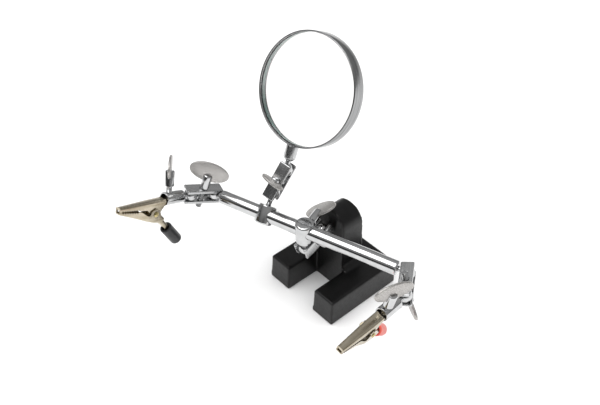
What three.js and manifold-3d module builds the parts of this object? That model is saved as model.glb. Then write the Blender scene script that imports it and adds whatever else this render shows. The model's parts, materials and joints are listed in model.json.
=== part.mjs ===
// Helping hands clamp: cast base, ball-jointed cross bar, magnifier and two spring clips.
// Millimetres, +Z up. Origin: centre of the base's footprint, on the table.
import * as THREE from 'three';
import { mergeVertices } from 'three/addons/utils/BufferGeometryUtils.js';
import Module from 'manifold-3d';

const wasm = await Module();
wasm.setup();

// Running clearance between pieces
const GAP = 0.3;

// Base casting
const BASE = { width: 55.6, length: 55.3, height: 18, leg: 16.9, notch: 24.2, round: 1.1 };
const UPRIGHT = { halfWidth: 10.7, top: 59.4, front: -3.5, depth: 19.1, lean: 0.1, round: 1.1 };

// Cross bar: axis height, heading about Z, and its two ends either side of the sleeve
const BAR = { radius: 4.25, yaw: 17.9, left: 57, right: 58.8, round: 0.7, socket: 5.2 };

// Ball joint: two channel plates clamped over two balls by one wing bolt
const BALL = { radius: 4.05, neck: 1.5, pitch: 15.5 };
const PLATE = {
  length: 23.5, width: 7.5, face: 4.8, web: 1.1, flange: 1.9, side: 1, corner: 0.7, dimple: 4.3,
  hole: 2.15,
};

// Wing bolt: threaded shank, slotted barrel and oval wing; the magnifier has a smaller one
const BOLT = { shank: 1.8, end: 9.6, thick: 1.4 };
const FULL_WING = { barrel: 2.8, barrelLength: 9.4, halfLength: 11.8, halfHeight: 6.5, above: 2 };
const SMALL_WING = { barrel: 2.5, barrelLength: 4, halfLength: 7.5, halfHeight: 4.2, above: 0.6 };

// Sleeves that ride on the cross bar
const SLEEVE = { radius: 5.4, round: 1, clampSeat: 7.6 };
const SLOT = { width: 2.2, depth: 1.3 };
const TEE = { tilt: 5, studEnd: 8.4, farEnd: 6.1, ball: 15 };
const COLLAR = { at: -26.5, tilt: 40, studEnd: 5.8, farEnd: 5.8, ball: 14 };

// Magnifier
const LENS = { outer: 32.9, lip: 31.1, groove: 32.1, width: 9, lipWidth: 1.2, glass: 31.7 };
const GLASS = { edge: 3, middle: 7.6 };
const SOCKET = { radius: 3.7, length: 8.2, taper: 1.3, mouth: 2.1 };
const LENS_REACH = 48.4;

// Ferrule that grips each clip's tail
const FERRULE = {
  start: 6.4, end: 20.5, outer: 3.9, bore: 3.1, wall: 3.5, shoulder: 1.5, clampAt: 16.8,
};

// Spring clip, measured from the ferrule's mouth: x to the tip, z up
const CLIP = { scale: 0.93, pivot: [8.5, -7.3], sheet: 0.8, pin: 0.9, tip: 34.5 };
const JAW = { rear: 3.2, nose: 2.2, ear: 4.25, tooth: 1.1, teeth: 7 };
const TAIL = { length: 9.5, half: 1.8, top: 0.9, bottom: -2 };
const HANDLE = { angle: 223.5, start: 8, length: 30, half: 1.9, thick: 2.2 };
const GRIP = { radius: 3.9, bore: 3, from: 17.5, to: 33 };
const SPRING = { coil: 1.9, wire: 0.35, turns: 3, span: 3.4, leg: 6 };

// ---- helpers ----------------------------------------------------------------------------

const rad = THREE.MathUtils.degToRad;
const vec = (x, y, z) => new THREE.Vector3(x, y, z);

function solid(geometry) {
  const plain = geometry.index ? geometry.toNonIndexed() : geometry.clone();
  plain.deleteAttribute('normal');
  plain.deleteAttribute('uv');
  const merged = mergeVertices(plain, 1e-5);
  return new wasm.Manifold(new wasm.Mesh({
    numProp: 3,
    vertProperties: new Float32Array(merged.attributes.position.array),
    triVerts: new Uint32Array(merged.index.array),
  }));
}

function geometryOf(body) {
  const mesh = body.getMesh();
  const geometry = new THREE.BufferGeometry();
  geometry.setAttribute('position', new THREE.BufferAttribute(new Float32Array(mesh.vertProperties), 3));
  geometry.setIndex(new THREE.BufferAttribute(new Uint32Array(mesh.triVerts), 1));
  return geometry;
}

function piece(name, body, material, frame = new THREE.Matrix4()) {
  const geometry = geometryOf(body);
  geometry.computeVertexNormals();
  const mesh = new THREE.Mesh(geometry, material());
  mesh.name = name;
  mesh.applyMatrix4(frame);
  return mesh;
}

const metal = (color, roughness, metalness) => () => (
  new THREE.MeshStandardMaterial({ color, roughness, metalness }));
const enamel = metal(0x1b1b1c, 0.45, 0.1);
const chrome = metal(0xd5d7d8, 0.12, 1);
const zinc = metal(0xb3b0ac, 0.38, 0.9);
const nickel = metal(0xb5a894, 0.3, 1);
const brass = metal(0xb09a5a, 0.35, 1);
const glass = metal(0xe6f2ef, 0.03, 0);
const blackVinyl = metal(0x1d1d1e, 0.5, 0);
const redVinyl = metal(0xd9433a, 0.45, 0);

// A frame with its z along one direction and its x as near as possible to another
function frameAt(origin, zAxis, xHint) {
  const z = zAxis.clone().normalize();
  const y = z.clone().cross(xHint).normalize();
  const x = y.clone().cross(z);
  return new THREE.Matrix4().makeBasis(x, y, z).setPosition(origin);
}

// Revolve about z; the profile is a list of [radius, z] from axis to axis or a closed ring
function turned(profile, segments = 20) {
  const points = profile.map(([r, z]) => new THREE.Vector2(r, z));
  const geometry = new THREE.LatheGeometry(points, segments);
  geometry.rotateX(Math.PI / 2);
  return solid(geometry);
}

function rod(radius, from, to, segments = 16) {
  return turned([[0, from], [radius, from], [radius, to], [0, to]], segments);
}

function rodAlong(axis, radius, from, to, at = [0, 0, 0], segments = 16) {
  const geometry = new THREE.CylinderGeometry(radius, radius, to - from, segments);
  geometry.translate(0, (from + to) / 2, 0);
  if (axis === 'x') geometry.rotateZ(-Math.PI / 2);
  if (axis === 'z') geometry.rotateX(Math.PI / 2);
  geometry.translate(...at);
  return solid(geometry);
}

function block(x0, x1, y0, y1, z0, z1) {
  const geometry = new THREE.BoxGeometry(x1 - x0, y1 - y0, z1 - z0);
  geometry.translate((x0 + x1) / 2, (y0 + y1) / 2, (z0 + z1) / 2);
  return solid(geometry);
}

const outline = (points) => new THREE.Shape(points.map(([x, y]) => new THREE.Vector2(x, y)));

// Side profile in x-z, centred on y = 0
function sideSlab(points, halfWidth) {
  const geometry = new THREE.ExtrudeGeometry(outline(points), {
    depth: 2 * halfWidth, bevelEnabled: false,
  });
  geometry.rotateX(Math.PI / 2);
  geometry.translate(0, halfWidth, 0);
  return solid(geometry);
}

// Plan profile in x-y, given as half widths along x
function planSlab(halfWidths, z0, z1) {
  const mirrored = [...halfWidths].reverse().map(([x, y]) => [x, -y]);
  const geometry = new THREE.ExtrudeGeometry(outline([...halfWidths, ...mirrored]), {
    depth: z1 - z0, bevelEnabled: false,
  });
  geometry.translate(0, 0, z0);
  return solid(geometry);
}

function roundedRectangle(length, width, corner) {
  const shape = new THREE.Shape();
  const x = length / 2 - corner;
  const y = width / 2 - corner;
  shape.absarc(x, y, corner, 0, Math.PI / 2);
  shape.absarc(-x, y, corner, Math.PI / 2, Math.PI);
  shape.absarc(-x, -y, corner, Math.PI, 1.5 * Math.PI);
  shape.absarc(x, -y, corner, 1.5 * Math.PI, 2 * Math.PI);
  return shape;
}

// ---- base -------------------------------------------------------------------------------

function footBlock() {
  const { width, length, height, leg, notch, round } = BASE;
  const w = width / 2 - round;
  const l = length / 2 - round;
  const inner = width / 2 - leg + round;
  const shape = outline([
    [-w, -l], [-inner, -l], [-inner, notch - l], [inner, notch - l],
    [inner, -l], [w, -l], [w, l], [-w, l],
  ]);
  const geometry = new THREE.ExtrudeGeometry(shape, {
    depth: height - 2 * round, bevelThickness: round, bevelSize: round, bevelSegments: 2,
  });
  geometry.translate(0, 0, round);
  return solid(geometry);
}

function upright() {
  const { halfWidth, top, front, depth, lean, round } = UPRIGHT;
  const radius = halfWidth - round;
  const shape = new THREE.Shape();
  shape.moveTo(-radius, round);
  shape.lineTo(radius, round);
  shape.absarc(0, top - halfWidth, radius, 0, Math.PI);
  const geometry = new THREE.ExtrudeGeometry(shape, {
    depth: depth - 2 * round, bevelThickness: round, bevelSize: round, bevelSegments: 2,
    curveSegments: 14,
  });
  geometry.rotateX(Math.PI / 2);
  geometry.translate(0, front + depth - round, 0);
  const position = geometry.attributes.position;
  for (let i = 0; i < position.count; i += 1) {
    const shrink = lean * Math.max(0, position.getZ(i) - BASE.height);
    const share = (position.getY(i) - front) / depth;
    position.setY(i, position.getY(i) - shrink * share);
  }
  return solid(geometry);
}

function baseCasting(studAt) {
  const bore = rodAlong('y', BALL.neck + GAP, 0, 8, [studAt.x, UPRIGHT.front - 1, studAt.z]);
  return piece('base_casting', footBlock().add(upright()).subtract(bore), enamel);
}

// ---- ball joints ------------------------------------------------------------------------

// Ball at the origin, shank along +z
function ballStud(name, reach, frame) {
  const { radius, neck } = BALL;
  const steps = 6;
  const last = Math.PI - Math.asin(neck / radius);
  const profile = [[0, -radius]];
  for (let i = 1; i <= steps; i += 1) {
    const angle = (last * i) / steps;
    profile.push([radius * Math.sin(angle), -radius * Math.cos(angle)]);
  }
  profile.push([neck, reach], [0, reach]);
  return piece(name, turned(profile, 14), chrome, frame);
}

// Joint frame: x from the first ball to the second, z along the bolt towards its wing
function jointPlate(name, side, frame) {
  const { length, width, face, web, flange, side: wall, corner } = PLATE;
  const geometry = new THREE.ExtrudeGeometry(roundedRectangle(length, width, corner), {
    depth: flange, bevelEnabled: false, curveSegments: 2,
  });
  geometry.translate(0, 0, face - flange);
  if (side < 0) geometry.rotateX(Math.PI);
  const under = face - flange - 1;
  const inside = face - web;
  const half = width / 2 - wall;
  const [low, high] = side > 0 ? [under, inside] : [-inside, -under];
  let body = solid(geometry).subtract(block(-length, length, -half, half, low, high));
  for (const x of [-BALL.pitch / 2, BALL.pitch / 2]) {
    const dimple = new THREE.SphereGeometry(PLATE.dimple, 16, 10);
    dimple.translate(x, 0, 0);
    body = body.subtract(solid(dimple));
  }
  body = body.subtract(rodAlong('z', PLATE.hole, -6, 6, [0, 0, 0], 12));
  return piece(name, body, zinc, frame);
}

// Frame: z along the bolt; the shank starts at `from`, the barrel sits at `seat`
function wingBolt(prefix, size, from, seat, turn, frame) {
  const { shank, thick } = BOLT;
  const { barrel, barrelLength, halfLength, halfHeight, above } = size;
  const top = seat + barrelLength;
  const centre = top + above;
  const body = turned([
    [0, from], [shank - 0.3, from], [shank, from + 0.3], [shank, seat], [barrel - 0.4, seat],
    [barrel, seat + 0.4], [barrel, top - 0.6], [barrel - 0.6, top], [0, top],
  ], 14);
  const slotHalf = thick / 2 + GAP / 2;
  const floor = centre - halfHeight - GAP;
  const cut = block(-barrel - 1, barrel + 1, -slotHalf, slotHalf, floor, top + 1);
  const oval = new THREE.Shape();
  oval.absellipse(0, centre, halfLength, halfHeight, 0, 2 * Math.PI);
  const plate = new THREE.ExtrudeGeometry(oval, {
    depth: thick - 0.4, bevelThickness: 0.2, bevelSize: 0.2, bevelOffset: -0.2,
    bevelSegments: 1, curveSegments: 11,
  });
  plate.rotateX(Math.PI / 2);
  plate.translate(0, thick / 2 - 0.2, 0);
  const turnedFrame = frame.clone().multiply(new THREE.Matrix4().makeRotationZ(rad(turn)));
  return [
    piece(`${prefix}_bolt`, body.subtract(cut), chrome, turnedFrame),
    piece(`${prefix}_wing`, solid(plate), zinc, turnedFrame),
  ];
}

// Everything clamped between two balls
function ballJoint(prefix, near, far, first, second, boltHint, wingTurn, size = FULL_WING) {
  const middle = first.clone().add(second).multiplyScalar(0.5);
  const along = second.clone().sub(first).normalize();
  const bolt = boltHint.clone().addScaledVector(along, -boltHint.dot(along)).normalize();
  const frame = frameAt(middle, bolt, along);
  return [
    jointPlate(`${prefix}_${near}_plate`, 1, frame),
    jointPlate(`${prefix}_${far}_plate`, -1, frame),
    ...wingBolt(`${prefix}_joint`, size, -BOLT.end, PLATE.face + GAP, wingTurn, frame),
  ];
}

// ---- cross bar and sleeves --------------------------------------------------------------

// Frame: x along the bar, z along the ball stud; the clamp bolt enters along `clampSide` y
function barSleeve(name, ends, clampSide, slotted, frame) {
  const { radius, round, clampSeat } = SLEEVE;
  const { studEnd, farEnd } = ends;
  let body = turned([
    [0, -farEnd], [radius - round, -farEnd], [radius - round * 0.3, -farEnd + round * 0.3],
    [radius, -farEnd + round], [radius, studEnd - round],
    [radius - round * 0.3, studEnd - round * 0.3], [radius - round, studEnd], [0, studEnd],
  ], 20);
  body = body.subtract(rodAlong('x', BAR.radius + GAP, -9, 9, [0, 0, 0], 24));
  body = body.subtract(rod(BALL.neck + GAP, 0, studEnd + 1));
  const bore = clampSide > 0 ? [0, clampSeat] : [-clampSeat, 0];
  body = body.subtract(rodAlong('y', BOLT.shank + GAP, ...bore));
  if (slotted) {
    const { width, depth } = SLOT;
    body = body.subtract(block(-9, 9, -width / 2, width / 2, -farEnd - 1, -farEnd + depth));
  }
  return piece(name, body, chrome, frame);
}

function crossBar(frame) {
  const { radius, left, right, round, socket } = BAR;
  const body = turned([
    [0, -left], [radius - round, -left], [radius, -left + round],
    [radius, right - round], [radius - round, right], [0, right],
  ], 24);
  const bore = BALL.neck + GAP;
  const drilled = body
    .subtract(rod(bore, -left - 1, -left + socket))
    .subtract(rod(bore, right - socket, right + 1));
  return piece('cross_bar', drilled, chrome, frame);
}

// ---- magnifier --------------------------------------------------------------------------

// Frame: origin at the ring's centre, y along the optical axis, z away from the socket
function lensRim(frame) {
  const { outer, lip, groove, width, lipWidth } = LENS;
  const half = width / 2;
  const profile = [
    [lip, -half], [outer - 0.4, -half], [outer, -half + 0.4], [outer, half - 0.4],
    [outer - 0.4, half], [lip, half], [lip, half - lipWidth], [groove, half - lipWidth - 0.6],
    [groove, -half + lipWidth + 0.6], [lip, -half + lipWidth], [lip, -half],
  ];
  const geometry = new THREE.LatheGeometry(profile.map(([r, z]) => new THREE.Vector2(r, z)), 44);
  const hole = rod(BALL.neck + GAP, -outer - 1, -lip + 2);
  return piece('lens_rim', solid(geometry).subtract(hole), chrome, frame);
}

function lensGlass(frame) {
  const rings = 3;
  const bulge = (GLASS.middle - GLASS.edge) / 2;
  const front = [];
  for (let i = 0; i <= rings; i += 1) {
    const share = i / rings;
    front.push([LENS.glass * share, GLASS.edge / 2 + bulge * (1 - share * share)]);
  }
  const back = front.map(([r, y]) => [r, -y]);
  const profile = [...back, ...front.reverse()];
  const geometry = new THREE.LatheGeometry(profile.map(([r, y]) => new THREE.Vector2(r, y)), 40);
  return piece('lens_glass', solid(geometry), glass, frame);
}

// Frame: as the ball stud below it; z towards the ring
function lensSocket(frame) {
  const { radius, length, taper, mouth } = SOCKET;
  const top = LENS_REACH - LENS.outer - GAP;
  const bottom = top - length;
  const body = turned([
    [0, bottom - taper], [mouth, bottom - taper], [radius, bottom], [radius, top - 0.4],
    [radius - 0.4, top], [BALL.neck, top], [BALL.neck, top + 1.2], [0, top + 1.2],
  ], 24);
  const bore = rod(BALL.neck + GAP, bottom - taper - 1, bottom + 4);
  return piece('lens_socket', body.subtract(bore), chrome, frame);
}

// ---- clips ------------------------------------------------------------------------------

// Frame: z along the ferrule towards its mouth, x up towards the clamp bolt
function ferrule(name, frame) {
  const { start, end, outer, bore, wall, shoulder, clampAt } = FERRULE;
  const body = turned([
    [0, start], [outer - shoulder, start], [outer, start + shoulder], [outer, end - 0.3],
    [outer - 0.3, end], [bore, end], [bore, start + wall], [0, start + wall],
  ], 20);
  const studBore = rod(BALL.neck + GAP, start - 1, start + wall + 1);
  const clampBore = rodAlong('x', BOLT.shank + GAP, 0, outer + 1, [0, 0, clampAt]);
  return piece(name, body.subtract(studBore).subtract(clampBore), chrome, frame);
}

// Row of square-bottomed teeth along a straight jaw edge
function toothCuts(from, to, level, fall) {
  const pitch = (to - from) / JAW.teeth;
  let cuts = null;
  for (let i = 0; i < JAW.teeth; i += 1) {
    const x = from + pitch * i;
    const z = level + fall * (x - from);
    const cut = sideSlab([[x, z - 0.1], [x + pitch * 0.5, z + JAW.tooth], [x + pitch, z - 0.1]], 5);
    cuts = cuts ? cuts.add(cut) : cut;
  }
  return cuts;
}

const jawPlan = (rear, nose, bendAt) => [[-2, rear], [bendAt, rear], [CLIP.tip + 1, nose]];

// Frame: x to the tip, y across, z up, origin at the ferrule's mouth
function upperJaw(name, frame) {
  const { sheet, pivot, pin, tip } = CLIP;
  const [px, pz] = pivot;
  const profile = [
    [0.6, 0.9], [tip, -0.4], [tip, -2.6], [tip - 2, -2.9], [14.5, -4.4], [12.5, -6.5],
    [11.3, -9.4], [px, -10.6], [5.6, -9.4], [3.2, -5.2], [0.6, -2.2],
  ];
  const inside = [[-1, 0.9 - sheet], [tip - 1.4, -0.3 - sheet], [tip - 1.4, -14], [-1, -14]];
  let body = sideSlab(profile, 5).intersect(planSlab(jawPlan(JAW.rear, JAW.nose, 10), -20, 5));
  const hollow = sideSlab(inside, 5)
    .intersect(planSlab(jawPlan(JAW.rear - sheet, JAW.nose - sheet, 10), -20, 5));
  body = body.subtract(hollow);
  body = body.add(block(-TAIL.length, 1.8, -TAIL.half, TAIL.half, TAIL.bottom, TAIL.top));
  body = body.subtract(toothCuts(20, tip - 1.2, -3.9, 0.08));
  body = body.subtract(rodAlong('y', pin + GAP, -6, 6, [px, 0, pz]));
  return piece(name, body, nickel, frame);
}

function lowerJaw(name, frame) {
  const { sheet, pivot, pin, tip } = CLIP;
  const [px, pz] = pivot;
  const profile = [
    [tip, -3.2], [tip, -4.6], [16, -11], [9, -13.2], [3.4, -14.4], [1.6, -12.6],
    [4.4, -9.2], [5.6, -5.4], [px, -3.9], [11.4, -5.2], [13.4, -8.2], [15.5, -7.2],
    [19, -4.8], [tip - 2, -3.4],
  ];
  const inside = [
    [tip - 1.4, 2], [tip - 1.4, -4], [15.6, -10.2], [8.8, -12.4], [3, -13.6], [-2, -12], [-2, 2],
  ];
  const plan = (inset) => [
    [-2, JAW.ear - inset], [14.5, JAW.ear - inset], [20, 3 - inset],
    [CLIP.tip + 1, JAW.nose - inset],
  ];
  let body = sideSlab(profile, 5).intersect(planSlab(plan(0), -20, 5));
  body = body.subtract(sideSlab(inside, 5).intersect(planSlab(plan(sheet), -20, 5)));
  body = body.add(handle());
  body = body.subtract(rodAlong('y', pin + GAP, -6, 6, [px, 0, pz]));
  return piece(name, body, nickel, frame);
}

// The free handle, a flat strip running down and back from the pivot
function handle() {
  const { angle, start, length, half, thick } = HANDLE;
  const geometry = new THREE.BoxGeometry(length - start, 2 * half, thick);
  geometry.translate((start + length) / 2, 0, 0);
  geometry.rotateY(-rad(angle));
  geometry.translate(CLIP.pivot[0], 0, CLIP.pivot[1]);
  return solid(geometry);
}

function grip(name, material, frame) {
  const { radius, bore, from, to } = GRIP;
  const body = turned([
    [bore, from], [radius - 0.4, from], [radius, from + 0.4], [radius, to - 0.8],
    [radius - 0.8, to], [0, to], [0, to - 1.2], [bore, to - 1.2], [bore, from],
  ], 24);
  const [px, pz] = CLIP.pivot;
  const along = vec(Math.cos(rad(HANDLE.angle)), 0, Math.sin(rad(HANDLE.angle)));
  const local = frameAt(vec(px, 0, pz), along, vec(0, 1, 0));
  return piece(name, body, material, frame.clone().multiply(local));
}

function pivotPin(name, frame) {
  const head = JAW.ear + GAP;
  const body = turned([
    [0, -head - 0.6], [1.1, -head - 0.6], [1.7, -head], [CLIP.pin, -head],
    [CLIP.pin, head], [1.7, head], [1.1, head + 0.6], [0, head + 0.6],
  ], 16);
  const local = frameAt(vec(CLIP.pivot[0], 0, CLIP.pivot[1]), vec(0, 1, 0), vec(1, 0, 0));
  return piece(name, body, brass, frame.clone().multiply(local));
}

// Torsion spring round the pin, one leg under the fixed jaw and one in the handle's channel
class SpringPath extends THREE.Curve {
  getPoint(share, target = new THREE.Vector3()) {
    const { coil, turns, span, leg } = SPRING;
    const [px, pz] = CLIP.pivot;
    const sweep = 2 * Math.PI * turns;
    const middle = Math.min(Math.max((share - 0.15) / 0.7, 0), 1);
    const angle = rad(60) + sweep * middle;
    const x = coil * Math.cos(angle);
    const z = coil * Math.sin(angle);
    const away = share < 0.15 ? (0.15 - share) / 0.15 : Math.max(0, (share - 0.85) / 0.15);
    const way = share < 0.15 ? 1 : -1;
    return target.set(
      px + x + way * away * leg * Math.sin(angle),
      -span / 2 + span * middle,
      pz + z - way * away * leg * Math.cos(angle),
    );
  }
}

function spring(name, frame) {
  const section = new THREE.Shape();
  section.absarc(0, 0, SPRING.wire, 0, 2 * Math.PI);
  const geometry = new THREE.ExtrudeGeometry(section, {
    steps: 36, extrudePath: new SpringPath(), curveSegments: 2,
  });
  return piece(name, solid(geometry), brass, frame);
}

// One arm's end: ferrule, its clamp bolt and the clip, each rolled about the ferrule's axis
function clipArm(side, ball, forward, bolt, roll, gripMaterial) {
  const level = vec().setFromMatrixColumn(frameAt(ball, forward, UP), 0);
  const boltUp = level.clone().applyAxisAngle(forward, rad(bolt.roll));
  const frame = frameAt(ball, forward, boltUp);
  const clampPoint = ball.clone().addScaledVector(forward, FERRULE.clampAt);
  const clampFrame = frameAt(clampPoint, boltUp, forward);
  const mouth = ball.clone().addScaledVector(forward, FERRULE.end);
  const top = level.clone().applyAxisAngle(forward, rad(roll));
  const across = top.clone().cross(forward).normalize();
  const clip = new THREE.Matrix4().makeBasis(forward, across, top).setPosition(mouth)
    .multiply(new THREE.Matrix4().makeScale(CLIP.scale, CLIP.scale, CLIP.scale));
  return [
    ballStud(`${side}_ferrule_ball_stud`, FERRULE.start + FERRULE.wall - GAP, frame),
    ferrule(`${side}_ferrule`, frame),
    ...wingBolt(`${side}_ferrule`, FULL_WING, TAIL.top + GAP + 0.4, bolt.seat, bolt.turn, clampFrame),
    upperJaw(`${side}_clip_fixed_jaw`, clip),
    lowerJaw(`${side}_clip_moving_jaw`, clip),
    pivotPin(`${side}_clip_pivot_pin`, clip),
    spring(`${side}_clip_spring`, clip),
    grip(`${side}_clip_grip`, gripMaterial, clip),
  ];
}

// ---- assembly, posed as the object stands -----------------------------------------------

const UP = vec(0, 0, 1);
const barHeading = vec(Math.cos(rad(BAR.yaw)), Math.sin(rad(BAR.yaw)), 0);
const barBack = UP.clone().cross(barHeading);
const teeCentre = vec(0, -25.2, 57.8);
const alongBar = (t) => teeCentre.clone().addScaledVector(barHeading, t);

const baseBall = vec(-1.8, -9.3, 46.9);
const teeAxis = UP.clone().applyAxisAngle(barHeading, rad(TEE.tilt));
const teeBack = teeAxis.clone().cross(barHeading);
const teeBall = teeCentre.clone().addScaledVector(teeAxis, -TEE.ball);

const collarCentre = alongBar(COLLAR.at);
const collarAxis = UP.clone().multiplyScalar(Math.cos(rad(COLLAR.tilt)))
  .addScaledVector(barBack, Math.sin(rad(COLLAR.tilt)));
const collarBall = collarCentre.clone().addScaledVector(collarAxis, COLLAR.ball);
const lensBall = collarBall.clone().addScaledVector(vec(0.07, 0.565, 0.822).normalize(), BALL.pitch);
const lensUp = vec(-0.09, 0.44, 0.89).normalize();
const lensFace = vec(0.1, -0.89, 0.45);

const BALL_SETBACK = 6;
const leftBarBall = alongBar(-BAR.left - BALL_SETBACK);
const leftBall = leftBarBall.clone()
  .addScaledVector(vec(-0.24, -0.917, 0.315).normalize(), BALL.pitch);
const leftForward = vec(0.06, -0.915, 0.39).normalize();
const rightBarBall = alongBar(BAR.right + BALL_SETBACK);
const rightBall = rightBarBall.clone()
  .addScaledVector(vec(0.597, -0.797, -0.087).normalize(), BALL.pitch);
const rightForward = vec(0.09, -0.99, 0.08).normalize();

function baseGroup() {
  const stud = frameAt(baseBall, vec(0, 1, 0), UP);
  const reach = UPRIGHT.front - baseBall.y + 5;
  return [
    baseCasting(baseBall),
    ballStud('base_ball_stud', reach, stud),
    ...ballJoint('base', 'left', 'right', baseBall, teeBall, vec(-0.985, -0.09, -0.1), 58),
  ];
}

function barGroup() {
  const teeFrame = frameAt(teeCentre, teeAxis.clone().negate(), barHeading);
  const collarFrame = frameAt(collarCentre, collarAxis, barHeading);
  const clamp = (origin, direction) => frameAt(origin, direction, barHeading);
  const collarBack = collarAxis.clone().cross(barHeading);
  const from = BAR.radius + GAP;
  const reach = BALL_SETBACK + BAR.socket - GAP;
  return [
    ballStud('tee_ball_stud', TEE.ball - BAR.radius - 2 * GAP,
      frameAt(teeBall, teeAxis, barHeading)),
    barSleeve('tee_sleeve', TEE, -1, true, teeFrame),
    ...wingBolt('tee_clamp', FULL_WING, from, SLEEVE.clampSeat, -38, clamp(teeCentre, teeBack)),
    crossBar(frameAt(teeCentre, barHeading, UP)),
    barSleeve('magnifier_collar', COLLAR, 1, false, collarFrame),
    ...wingBolt('collar_clamp', FULL_WING, from, SLEEVE.clampSeat, -6, clamp(collarCentre, collarBack)),
    ballStud('left_bar_ball_stud', reach, frameAt(leftBarBall, barHeading, UP)),
    ballStud('right_bar_ball_stud', reach, frameAt(rightBarBall, barHeading.clone().negate(), UP)),
  ];
}

function magnifierGroup() {
  const toBar = collarAxis.clone().negate();
  const centre = lensBall.clone().addScaledVector(lensUp, LENS_REACH);
  const across = lensFace.clone().negate().cross(lensUp).normalize();
  const axis = lensUp.clone().cross(across);
  const ring = new THREE.Matrix4().makeBasis(across, axis, lensUp).setPosition(centre);
  const stem = frameAt(lensBall, lensUp, across);
  const studReach = LENS_REACH - LENS.outer - GAP - SOCKET.length + 3;
  return [
    ballStud('collar_ball_stud', COLLAR.ball - BAR.radius - 2 * GAP,
      frameAt(collarBall, toBar, barHeading)),
    ...ballJoint('magnifier', 'near', 'far', collarBall, lensBall, vec(0.306, -0.797, 0.521), 85,
      SMALL_WING),
    ballStud('lens_ball_stud', studReach, stem),
    lensSocket(stem),
    lensRim(ring),
    lensGlass(ring),
  ];
}

function leftGroup() {
  return [
    ...ballJoint('left', 'upper', 'lower', leftBarBall, leftBall, vec(0.143, 0.285, 0.948), -31),
    ...clipArm('left', leftBall, leftForward, { roll: 15, seat: 7.2, turn: 45 }, 9, blackVinyl),
  ];
}

function rightGroup() {
  return [
    ...ballJoint('right', 'lower', 'upper', rightBarBall, rightBall, vec(0.107, 0.187, -0.977), -25),
    ...clipArm('right', rightBall, rightForward, { roll: -10, seat: 5, turn: -20 }, -14, redVinyl),
  ];
}

const clamp = new THREE.Group();
clamp.name = 'helping_hands_clamp';
clamp.add(...baseGroup(), ...barGroup(), ...magnifierGroup(), ...leftGroup(), ...rightGroup());

export default clamp;
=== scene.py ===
import json
import math

import bmesh
import bpy
from mathutils import Matrix, Vector


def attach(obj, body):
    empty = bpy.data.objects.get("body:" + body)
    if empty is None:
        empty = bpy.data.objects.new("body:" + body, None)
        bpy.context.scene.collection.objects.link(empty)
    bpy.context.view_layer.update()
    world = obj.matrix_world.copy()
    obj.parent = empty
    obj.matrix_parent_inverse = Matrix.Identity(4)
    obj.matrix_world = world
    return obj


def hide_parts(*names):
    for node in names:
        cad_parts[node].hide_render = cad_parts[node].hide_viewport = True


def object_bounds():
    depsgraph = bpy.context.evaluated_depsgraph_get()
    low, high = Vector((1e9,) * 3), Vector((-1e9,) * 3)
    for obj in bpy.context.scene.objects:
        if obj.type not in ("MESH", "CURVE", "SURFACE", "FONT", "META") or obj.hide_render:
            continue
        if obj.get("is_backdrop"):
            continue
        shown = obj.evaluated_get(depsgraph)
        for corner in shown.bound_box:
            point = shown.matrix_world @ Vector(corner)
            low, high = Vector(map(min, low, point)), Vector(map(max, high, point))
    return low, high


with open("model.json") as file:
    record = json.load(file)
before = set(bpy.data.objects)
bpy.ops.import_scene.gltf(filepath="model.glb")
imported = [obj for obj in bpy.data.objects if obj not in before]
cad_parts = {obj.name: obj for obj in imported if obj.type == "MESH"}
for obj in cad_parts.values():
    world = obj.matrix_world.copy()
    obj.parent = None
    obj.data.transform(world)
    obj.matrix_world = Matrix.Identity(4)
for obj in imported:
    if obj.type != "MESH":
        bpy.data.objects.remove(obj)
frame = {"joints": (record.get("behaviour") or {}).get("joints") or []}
cad_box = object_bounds()

MM = 0.001
JOINTS = {j["name"]: j for j in frame["joints"]}

# Sizes in millimetres
BALL_RADIUS = 4.05
NECK = 1.5
STUD_BORE = NECK + 0.3
PLATE = {"length": 23.5, "width": 7.5, "face": 4.8, "web": 1.1, "flange": 1.9, "side": 1.0,
         "corner": 0.7, "dimple": 4.3, "hole": 2.15}
BALL_PITCH = 15.5
BOLT = {"shank": 1.8, "end": -9.6, "thick": 1.4}
BOLT_BORE = BOLT["shank"] + 0.2
FULL_WING = {"barrel": 2.8, "length": 9.4, "half_length": 11.8, "half_height": 6.5, "above": 2.0}
SMALL_WING = {"barrel": 2.5, "length": 4.0, "half_length": 7.5, "half_height": 4.2, "above": 0.6}
BAR = {"radius": 4.25, "left": 57.0, "right": 58.8}
SLEEVE_RADIUS = 5.4
LENS = {"outer": 32.9, "groove": 32.1, "width": 9.0, "glass": 31.7, "edge": 5.0, "middle": 7.6}
LENS_REACH = 48.4
FERRULE = {"start": 6.4, "end": 20.5, "outer": 3.9, "bore": 3.1, "wall": 3.5, "bolt": 16.8}
STUD_REACH = {"base": 10.5, "tee": 10.1, "collar": 9.1, "lens": 9.5, "bar": 10.9}
# Half lengths of the two sleeves on the bar, and where their clamp bolts start and seat
TEE = {"stud_end": 8.4, "far_end": 6.1}
COLLAR = {"stud_end": 5.8, "far_end": 5.8}
CLAMP = {"start": 4.55, "seat": 7.6}
# Degrees each wing is turned about its bolt
WING_TURN = {"base": 58, "tee": -38, "collar": -6, "magnifier": 85, "left": -31, "right": -25,
             "left_ferrule": 45, "right_ferrule": -20}
FERRULE_SEAT = {"left": 7.2, "right": 5.0}
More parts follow.
